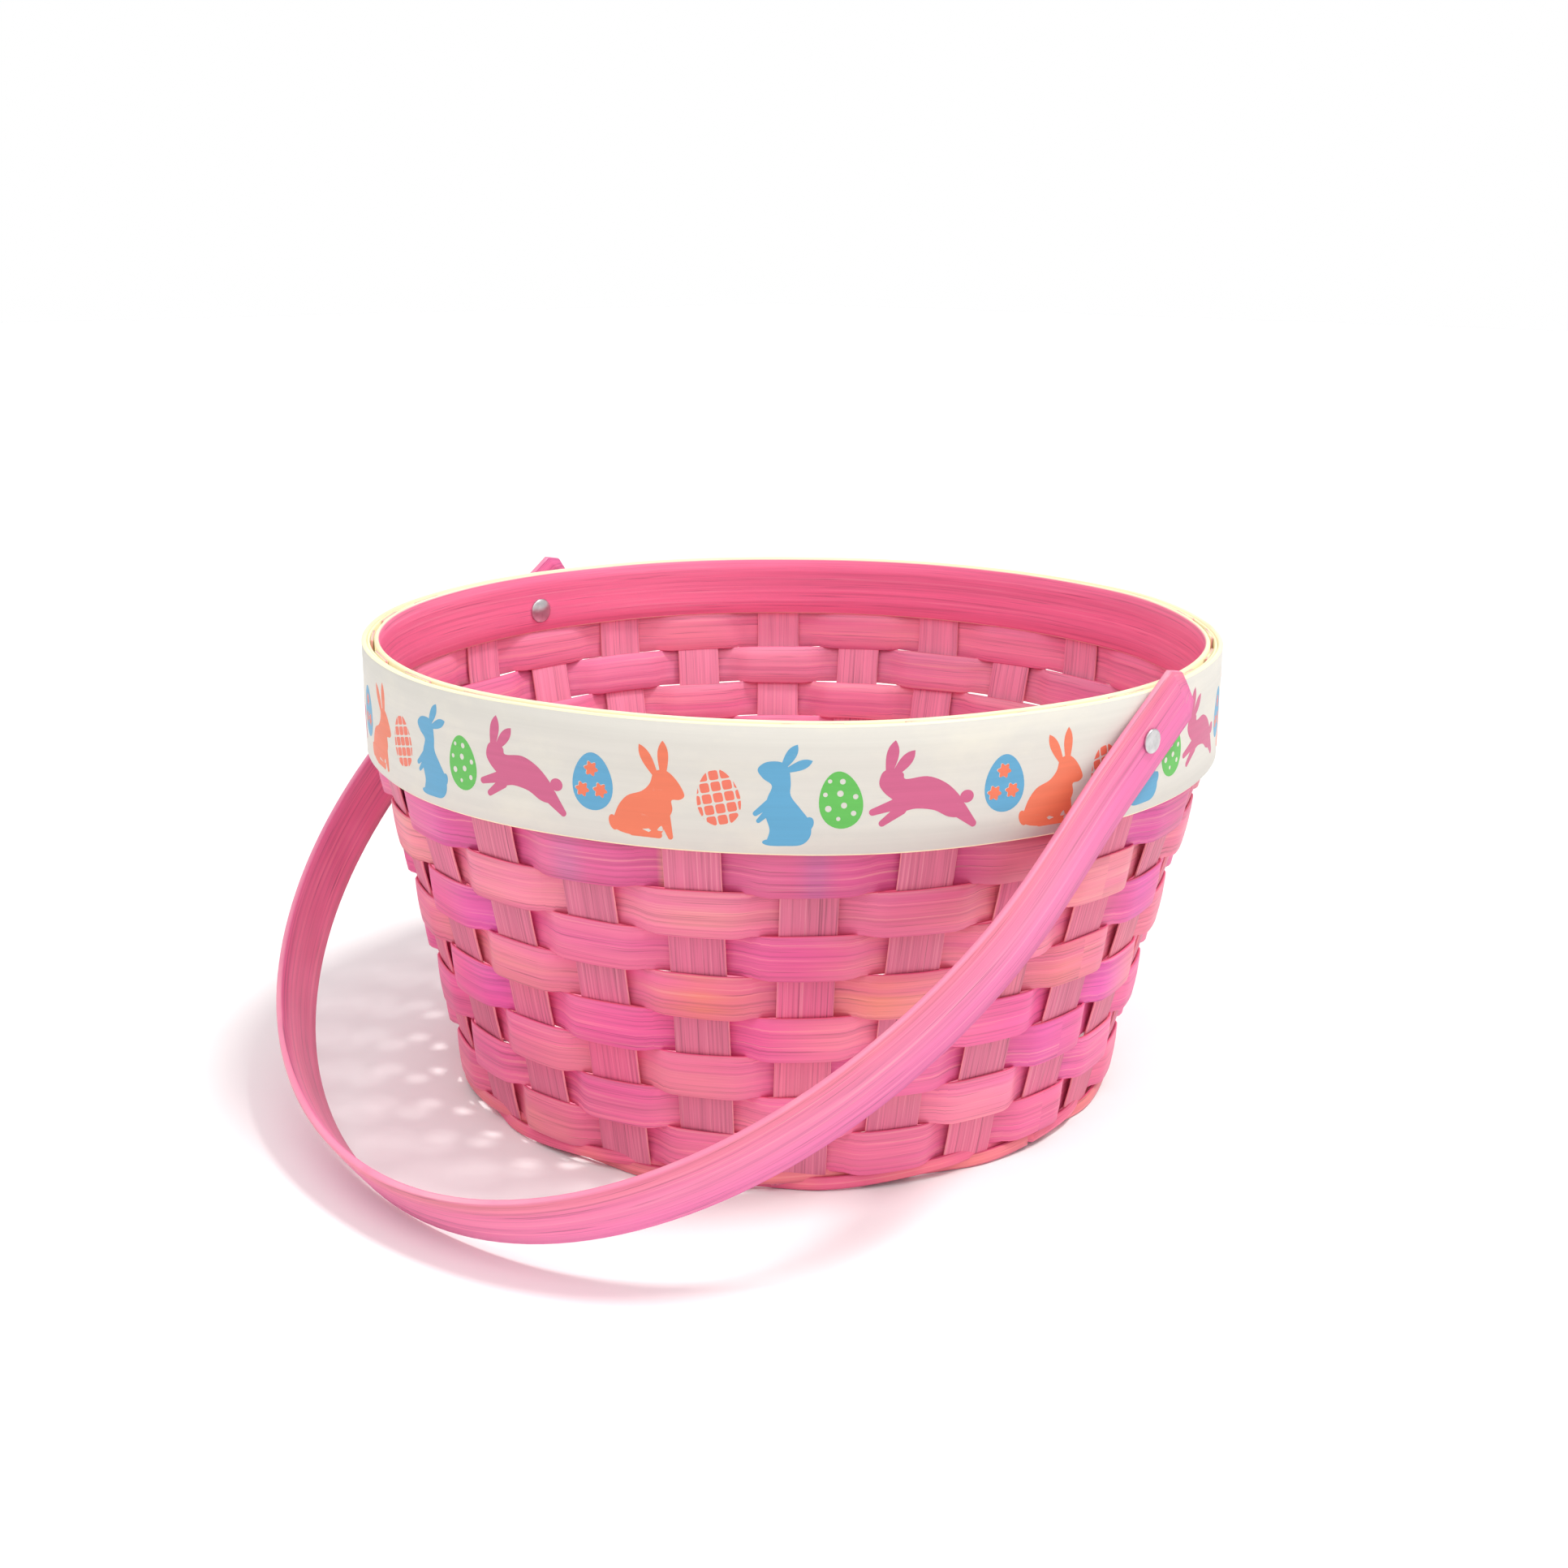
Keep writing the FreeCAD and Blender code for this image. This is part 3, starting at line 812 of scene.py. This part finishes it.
def egg_outline(wide, tall, tilt=0.0, x=0.0, y=0.0, points=40):
    """An egg, narrower at its top, about its centre."""
    turn = math.radians(tilt)
    outline = []
    for index in range(points):
        angle = TAU * index / points
        a = wide / 2 * math.cos(angle) * (1 - 0.16 * math.sin(angle))
        b = tall / 2 * math.sin(angle)
        outline.append((x + a * math.cos(turn) - b * math.sin(turn),
                        y + a * math.sin(turn) + b * math.cos(turn)))
    return outline


def flower(x, y, radius, points=42):
    """A six-petalled flower."""
    outline = []
    for index in range(points):
        angle = TAU * index / points
        reach = radius * (1 + 0.2 * math.cos(6 * angle + 0.9))
        outline.append((x + reach * math.cos(angle), y + reach * math.sin(angle)))
    return outline


def inside(point, outline):
    """Even-odd test."""
    x, y = point
    found = False
    for (x0, y0), (x1, y1) in zip(outline, outline[1:] + outline[:1]):
        if (y0 > y) != (y1 > y) and x < (x1 - x0) * (y - y0) / (y1 - y0) + x0:
            found = not found
    return found


# Outlines in millimetres, x to the right. Rabbits stand on their base line and eggs are about
# their centres. The rabbits are plain silhouettes drawn in the poses of the basket's own print,
# from curves, limbs, ovals and leaves.
SITTING = {
    "solid": [
        smooth([(-9.4, 2.0), (-8.6, 7.2), (-5.6, 11.2), (-1.2, 13.0), (1.2, 15.4), (2.4, 18.6),
                (5.6, 19.2), (8.6, 16.8), (10.8, 12.9), (9.6, 11.4), (7.2, 11.0), (7.4, 8.2),
                (5.6, 4.6), (3.6, 1.0), (-3.0, 0.3)]),
        limb(5.2, 6.0, 6.8, 0.8, 3.4, 1.5),
        limb(-4.0, 1.4, 3.6, 1.0, 2.4, 1.8),
        oval(-9.6, 3.4, 1.3, 2.2, 18),
        leaf(3.0, 17.4, -1.8, 26.0, 3.5),
        leaf(5.0, 17.6, 4.9, 27.4, 3.6),
    ],
    "holes": [smooth([(3.1, 2.4), (4.3, 3.7), (4.7, 2.3)], 3)],
}
UPRIGHT = {
    "solid": [
        smooth([(-4.0, 0.4), (-3.4, 4.4), (-4.6, 8.8), (-4.0, 13.2), (-2.8, 16.6), (-5.2, 18.6),
                (-6.6, 21.0), (-4.4, 23.0), (-0.6, 23.2), (1.6, 21.6), (2.2, 17.6), (2.2, 14.0),
                (4.8, 10.4), (7.2, 7.0), (7.6, 3.2), (5.4, 0.5), (1.0, 0.0)]),
        limb(-3.4, 11.8, -7.2, 8.8, 2.4, 1.4),
        limb(-3.2, 10.0, -6.4, 6.8, 2.2, 1.2),
        oval(-2.6, 0.9, 2.8, 0.95),
        oval(6.9, 6.2, 1.4, 2.0, -20),
        leaf(0.0, 21.4, 4.0, 28.0, 3.3),
        leaf(1.0, 20.8, 8.0, 23.6, 3.1),
    ],
    "holes": [],
}
LEAPING = {
    "solid": [
        smooth([(-11.4, 11.6), (-12.9, 14.2), (-11.9, 17.4), (-9.0, 18.3), (-6.4, 16.9), (-5.6, 15.2),
                (0.4, 15.6), (5.6, 13.4), (9.6, 9.6), (11.4, 6.2), (10.0, 3.6), (6.6, 3.8),
                (2.4, 6.0), (-2.6, 6.8), (-6.6, 6.4), (-8.4, 9.0)]),
        limb(-8.2, 8.4, -14.6, 6.4, 3.2, 1.9),
        limb(-6.8, 6.9, -12.0, 3.2, 3.2, 1.8),
        oval(11.9, 9.0, 2.0, 1.8),
        limb(9.8, 5.4, 13.9, 1.2, 4.4, 2.0),
        leaf(-10.4, 16.6, -8.6, 26.0, 4.0),
        leaf(-9.0, 16.4, -3.2, 23.0, 3.8),
    ],
    "holes": [],
}

EGG_DOTS = [(-2.9, 5.2, 0.6), (0.5, 5.1, 0.8), (-4.1, 1.5, 0.65), (-0.1, 1.8, 0.9), (4.0, 0.9, 0.75),
            (-3.3, -2.4, 0.9), (0.9, -1.5, 0.85), (3.5, -3.7, 0.75), (-0.6, -5.2, 0.6)]
DOTTED_EGG = {
    "solid": [egg_outline(11.7, 15.9, 6)],
    "holes": [oval(x, y, r, r, points=12) for x, y, r in EGG_DOTS],
}
FLOWERS = [(-0.4, 3.6), (-3.2, -2.4), (2.3, -2.2)]
FLOWER_EGG = {
    "solid": [egg_outline(12.2, 16.2)],
    "holes": [flower(x, y, 1.9) for x, y in FLOWERS],
}
FLOWER_FILL = {
    "solid": [flower(x + 0.1, y - 0.08, 1.8) for x, y in FLOWERS],
    "holes": [],
}


NET_PITCH = 3.1
NET_TURN = math.radians(12)
NET_HALF_CELL = 0.42 * NET_PITCH
NET_SQUARENESS = 0.42  # power that squares a cell's circle off


def net_place(x, y):
    """A place in the slanted net."""
    return (x * math.cos(NET_TURN) - y * math.sin(NET_TURN),
            x * math.sin(NET_TURN) + y * math.cos(NET_TURN))


def squared(value):
    return math.copysign(abs(value) ** NET_SQUARENESS, value)


def net_cells():
    """Rounded patches between the lines of a slanted net, cut off by an egg."""
    cells = []
    shell = egg_outline(11.8, 15.9, 8)
    for row in range(-3, 4):
        for column in range(-3, 4):
            corners = []
            for degrees in range(0, 360, 15):
                angle = math.radians(degrees)
                corners.append(net_place(
                    column * NET_PITCH + NET_HALF_CELL * squared(math.cos(angle)),
                    row * NET_PITCH + NET_HALF_CELL * squared(math.sin(angle))))
            kept = clip(corners, shell)
            if len(kept) > 2:
                cells.append(kept)
    return cells


def clip(outline, shell):
    """The part of a convex outline that lies inside a convex shell."""
    for (x0, y0), (x1, y1) in zip(shell, shell[1:] + shell[:1]):
        kept = []
        for first, second in zip(outline, outline[1:] + outline[:1]):
            side_a = (x1 - x0) * (first[1] - y0) - (y1 - y0) * (first[0] - x0)
            side_b = (x1 - x0) * (second[1] - y0) - (y1 - y0) * (second[0] - x0)
            if side_a >= 0:
                kept.append(first)
            if side_a * side_b < 0:
                part = side_a / (side_a - side_b)
                kept.append((first[0] + part * (second[0] - first[0]),
                             first[1] + part * (second[1] - first[1])))
        outline = kept
        if len(outline) < 3:
            return []
    return outline


NET_EGG = {"solid": net_cells(), "holes": []}


GRID = 2.0  # spacing of the inner points that let a print bend
GRID_NUDGE = Vector((0.137, 0.071))  # keeps those points off the outlines' own


def flat_triangles(motif):
    """Triangles of a motif: its solids joined, its holes left out, fine enough to bend."""
    points, edges = [], []
    for outline in motif["solid"] + motif["holes"]:
        start = len(points)
        points += [Vector(point) for point in outline]
        edges += [(start + i, start + (i + 1) % len(outline)) for i in range(len(outline))]
    xs = [p.x for p in points]
    ys = [p.y for p in points]
    column = min(xs)
    while column < max(xs):
        height = min(ys)
        while height < max(ys):
            points.append(Vector((column, height)) + GRID_NUDGE)
            height += 2 * GRID
        column += GRID
    made = geometry.delaunay_2d_cdt(points, edges, [], 0, 1e-5)
    vertices, triangles = made[0], []
    for face in made[2]:
        middle = sum((vertices[i] for i in face), Vector((0, 0))) / len(face)
        covered = any(inside(middle, outline) for outline in motif["solid"])
        if covered and not any(inside(middle, outline) for outline in motif["holes"]):
            triangles.append(tuple(face))
    return vertices, triangles


INK_LOW = -0.03 * MM
INK_HIGH = 0.035 * MM


def printed(name, colour, prints):
    """All prints of one colour: each motif at its arc length and base height on the band."""
    vertices, faces, uvs = [], [], []
    for motif, arc, base in prints:
        flat, triangles = flat_triangles(motif)
        used = sorted({index for triangle in triangles for index in triangle})
        order = {old: new for new, old in enumerate(used)}
        start = len(vertices)
        count = len(used)
        for proud in (INK_HIGH, INK_LOW):
            for old in used:
                angle = (arc + flat[old].x * MM) / RIM_RADIUS
                vertices.append(rim_place(angle, RIM_RADIUS + proud, base + flat[old].y * MM))
        borders = {}
        for triangle in triangles:
            ids = [start + order[index] for index in triangle]
            faces.append(tuple(ids))
            faces.append(tuple(index + count for index in reversed(ids)))
            for first, second in zip(ids, ids[1:] + ids[:1]):
                if (second, first) in borders:
                    del borders[(second, first)]
                else:
                    borders[(first, second)] = True
        for first, second in borders:
            faces.append((second, first, first + count, second + count))
    for face in faces:
        loop = []
        for index in face:
            point = vertices[index]
            loop.append((math.atan2(point.y, point.x) * RIM_RADIUS, point.z))
        uvs.append(loop)
    material = ink(name, colour)
    piece = finish_piece(name, vertices, faces, uvs, None, [material], [0] * len(faces),
                         "basket", smooth=False)


REPEAT = 115 * MM
# motif, distance along the repeat, bottom of its frame above the band's lower edge
PATTERN = [
    ("frieze_orange", SITTING, 0.0, 2.9),
    ("frieze_net", NET_EGG, 20.0, 15.6),
    ("frieze_blue", UPRIGHT, 37.2, 2.8),
    ("frieze_green", DOTTED_EGG, 52.7, 15.6),
    ("frieze_magenta", LEAPING, 75.9, 5.6),
    ("frieze_blue", FLOWER_EGG, 99.2, 17.0),
    ("frieze_flowers", FLOWER_FILL, 99.2, 17.0),
]
INKS = {
    "frieze_orange": INK_ORANGE,
    "frieze_net": INK_CORAL,
    "frieze_blue": INK_BLUE,
    "frieze_green": INK_GREEN,
    "frieze_magenta": INK_MAGENTA,
    "frieze_flowers": INK_ORANGE,
}
FIRST_ARC = FRONT * RIM_RADIUS - 39.5 * MM  # a sitting rabbit left of the front
BAND_LENGTH = TAU * RIM_RADIUS
FRIEZE_START = FIRST_ARC - 3.1 * REPEAT  # the print begins and ends at the back

placed = {name: [] for name in INKS}
for repeat in range(-3, 5):
    for name, motif, along, rise in PATTERN:
        arc = FIRST_ARC + repeat * REPEAT + along * MM
        if 8 * MM < arc - FRIEZE_START < BAND_LENGTH - 12 * MM:
            placed[name].append((motif, arc, BAND_BOTTOM + rise * MM))
for name, colour in INKS.items():
    printed(name, colour, placed[name])


# -------- handle

HANDLE_DROP = math.radians(36)
HANDLE_WIDTH = 20 * MM
HANDLE_THICK = 2.4 * MM
HALF_SPAN = 142.8 * MM
FOOT_SPAN = RIM_RADIUS + 0.3 * MM + HANDLE_THICK / 2
SKEW = 10 * MM  # sideways set of the bent strip at its top
REACH = 215 * MM
LEG = 58 * MM
FLAT = 16 * MM
TAB = 22 * MM
TAB_CLIP = 3.6 * MM  # length of the clipped corners
TAB_END = 0.62  # width of the tab's end, as a share of the strip's
ARCH_STEPS = 80
BEND_STEPS = 12
TAB_STEPS = 10


def arch_point(turn):
    """Middle line of the bent strip at a turn of 0 to pi, across and away from the rivets."""
    away = LEG + (REACH - LEG) * math.sin(turn)
    rise = (away - FLAT) / (REACH - FLAT)
    return Vector((HALF_SPAN * math.cos(turn) + SKEW * rise ** 2, away))


def bend(start, start_slope, end, end_slope, steps):
    """A smooth line from start to end, leaving and arriving along the two slopes."""
    line = []
    for index in range(steps):
        t = index / steps
        line.append(start * (2 * t ** 3 - 3 * t ** 2 + 1) + start_slope * (t ** 3 - 2 * t ** 2 + t)
                    + end * (3 * t ** 2 - 2 * t ** 3) + end_slope * (t ** 3 - t ** 2))
    return line


def arch_line():
    """Right tab to left tab: flat by the rivets, a smooth bend, then the arch."""
    first_turn = math.radians(10)
    arch = []
    for index in range(ARCH_STEPS + 1):
        arch.append(arch_point(first_turn + (math.pi - 2 * first_turn) * index / ARCH_STEPS))
    sides = []
    for foot, near, after in ((FOOT_SPAN, arch[0], arch[1]), (-FOOT_SPAN, arch[-1], arch[-2])):
        reach = near.y - FLAT
        slope = (after - near).normalized() * reach
        tab = [Vector((foot, -TAB + (TAB + FLAT) * index / TAB_STEPS)) for index in range(TAB_STEPS)]
        tab[1].y = -TAB + TAB_CLIP
        sides.append(tab + bend(Vector((foot, FLAT)), Vector((0, reach)), near, slope, BEND_STEPS))
    return sides[0] + arch + sides[1][::-1]


def handle_piece():
    """The bent strip, with the corners clipped off at both tabs."""
    down = Vector((0, -math.cos(HANDLE_DROP), -math.sin(HANDLE_DROP)))
    side = Vector((0, -math.sin(HANDLE_DROP), math.cos(HANDLE_DROP)))
    pivot = Vector((0, 0, PIVOT_HEIGHT))
    line = arch_line()
    count = len(line)
    stations = []
    for index, point in enumerate(line):
        tangent = (line[min(index + 1, count - 1)] - line[max(index - 1, 0)]).normalized()
        centre = pivot + Vector((1, 0, 0)) * point.x + down * point.y
        face = Vector((1, 0, 0)) * tangent.y - down * tangent.x
        share = TAB_END if index in (0, count - 1) else 1.0
        near_rivet = 1 - smoothstep(0, 90 * MM, point.y)
        drift = wobble(index * 0.09, 2.0)
        strength = max(0.0, min(1.0, 0.25 + 0.4 * drift + 0.7 * near_rivet))
        stations.append(Station(centre, side, face, HANDLE_WIDTH / 2 * share, crown=0.2 * MM,
                                tint=HANDLE_PINK.lerp(HANDLE_MAGENTA, strength)))
    piece = strip("handle_strip", stations, HANDLE_THICK, False, [handle_wood], "handle",
                  edge_tint=HANDLE_EDGE, bevel_share=0.22, sides=HANDLE_SIDES)
    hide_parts("handle")


handle_piece()


# -------- rivets

TURNED_STEPS = 40
SHANK = 1.75 * MM


def turned(name, node, profile, side):
    """A body of revolution about the rivet axis: profile is (distance out, radius)."""
    around = TURNED_STEPS
    vertices, faces, uvs = [], [], []
    for out, radius in profile:
        for index in range(around):
            angle = TAU * index / around
            vertices.append(Vector((side * out, radius * math.cos(angle),
                                    PIVOT_HEIGHT + radius * math.sin(angle))))
    for ring in range(len(profile) - 1):
        for index in range(around):
            after = (index + 1) % around
            face = (ring * around + index, ring * around + after,
                    (ring + 1) * around + after, (ring + 1) * around + index)
            faces.append(face if side < 0 else face[::-1])
    first = tuple(range(around))
    last = tuple(range((len(profile) - 1) * around, len(profile) * around))
    faces.append(first[::-1] if side < 0 else first)
    faces.append(last if side < 0 else last[::-1])
    for face in faces:
        uvs.append([(vertices[index].y, vertices[index].z) for index in face])
    piece = finish_piece(name, vertices, faces, uvs, None, [metal], [0] * len(faces), "basket")
    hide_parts(node)


HEAD_OUT = rivet_box[1][0]
HEAD_IN = rivet_box[0][0]
# inner dome, its rim, the shank, then the flatter outer head
rivet_profile = [
    (HEAD_IN - 0.1 * MM, 0.5 * MM),
    (HEAD_IN + 0.1 * MM, 1.8 * MM),
    (HEAD_IN + 0.6 * MM, 3.3 * MM),
    (HEAD_IN + 1.1 * MM, 4.3 * MM),
    (HEAD_IN + 1.45 * MM, 4.6 * MM),
    (HEAD_IN + 1.6 * MM, 4.5 * MM),
    (HEAD_IN + 1.62 * MM, SHANK),
    (HEAD_OUT - 1.0 * MM, SHANK),
    (HEAD_OUT - 0.98 * MM, 3.4 * MM),
    (HEAD_OUT - 0.8 * MM, 3.62 * MM),
    (HEAD_OUT - 0.2 * MM, 3.6 * MM),
    (HEAD_OUT - 0.04 * MM, 3.4 * MM),
    (HEAD_OUT, 3.1 * MM),
    (HEAD_OUT - 0.06 * MM, 1.4 * MM),
    (HEAD_OUT - 0.1 * MM, 0.3 * MM),
]
turned("rivet_front", "rivet_right", rivet_profile, 1)
turned("rivet_back", "rivet_left", rivet_profile, -1)


# -------- floor, light and camera

FLOOR_REACH = 6.0
FLOOR_DROP = 0.2 * MM  # below the rest plane, so the two never share a face


def floor():
    """A pale floor, flat, with the faintest mottling."""
    mesh = bpy.data.meshes.new("floor")
    corners = [(-1, -1), (1, -1), (1, 1), (-1, 1)]
    mesh.from_pydata([(x * FLOOR_REACH, y * FLOOR_REACH, 0) for x, y in corners], [], [(0, 1, 2, 3)])
    material, tree, shader = node_tree("floor")
    coordinates = add(tree, "ShaderNodeTexCoord")
    mottle = add(tree, "ShaderNodeTexNoise", Scale=30.0, Detail=3.0)
    tree.links.new(coordinates.outputs["Object"], mottle.inputs["Vector"])
    colour = mix(tree, "MULTIPLY", 1.0, (0.93, 0.925, 0.92),
                 ramp(tree, mottle.outputs["Fac"], [(0.3, 0.985), (0.7, 1.0)]))
    tree.links.new(colour, shader.inputs["Base Color"])
    shader.inputs["Roughness"].default_value = 0.75
    mesh.materials.append(material)
    ground = bpy.data.objects.new("floor", mesh)
    ground.location.z = -FLOOR_DROP
    bpy.context.scene.collection.objects.link(ground)


def from_view(x, y, z):
    """A direction or place given as seen from the camera's side, x right and y away."""
    return Matrix.Rotation(VIEW_TURN, 3, "Z") @ Vector((x, y, z))


def lamp(name, kind, energy, direction, distance):
    """A light on its own object, shining from a direction towards the origin."""
    light = bpy.data.lights.new(name, kind)
    light.energy = energy
    holder = bpy.data.objects.new(name, light)
    holder.rotation_mode = "QUATERNION"
    holder.rotation_quaternion = direction.to_track_quat("Z", "Y")
    holder.location = direction * distance
    bpy.context.scene.collection.objects.link(holder)
    return light


def lights():
    """A soft key from the upper right and a broad fill from above the camera."""
    key = lamp("key", "SUN", 1.7, from_view(0.42, -0.08, 1.0), 2)
    key.angle = math.radians(11)
    key.color = (1.0, 0.985, 0.96)

    fill = lamp("fill", "AREA", 7, from_view(-0.1, -0.6, 1.0), 1.5)
    fill.shape = "RECTANGLE"
    fill.size = 1.6
    fill.size_y = 1.0


def surround():
    """A white studio, brightest near the horizon and greyer overhead."""
    world = bpy.data.worlds.new("studio")
    world.use_nodes = True
    tree = world.node_tree
    coordinates = add(tree, "ShaderNodeTexCoord")
    split = add(tree, "ShaderNodeSeparateXYZ")
    tree.links.new(coordinates.outputs["Generated"], split.inputs["Vector"])
    shade = ramp(tree, split.outputs["Z"], [(0.15, 1.0), (0.6, 0.72)])
    tree.links.new(shade, tree.nodes["Background"].inputs["Color"])
    bpy.context.scene.world = world


CAMERA_PLACE = from_view(0, -0.6274, 0.2716)
CAMERA_LENS = 43.98
PITCH, YAW, ROLL = 0.2753, -0.0039, 0.0050  # radians: down, to the right, and clockwise


def camera():
    """A camera a little above the rim, looking down at the basket's front."""
    level = math.cos(PITCH)
    forward = from_view(math.sin(YAW) * level, math.cos(YAW) * level, -math.sin(PITCH))
    right = forward.cross(Vector((0, 0, 1))).normalized()
    up = right.cross(forward)
    rolled_right = right * math.cos(ROLL) + up * math.sin(ROLL)
    rolled_up = up * math.cos(ROLL) - right * math.sin(ROLL)
    data = bpy.data.cameras.new("camera")
    data.sensor_width = 36
    data.lens = CAMERA_LENS
    data.clip_start = 0.01
    eye = bpy.data.objects.new("camera", data)
    turn = Matrix((rolled_right, rolled_up, -forward)).transposed()
    eye.matrix_world = Matrix.Translation(CAMERA_PLACE) @ turn.to_4x4()
    bpy.context.scene.collection.objects.link(eye)
    bpy.context.scene.camera = eye


floor()
lights()
surround()
camera()
bpy.context.scene.view_settings.view_transform = "Standard"
bpy.context.scene.view_settings.look = "None"
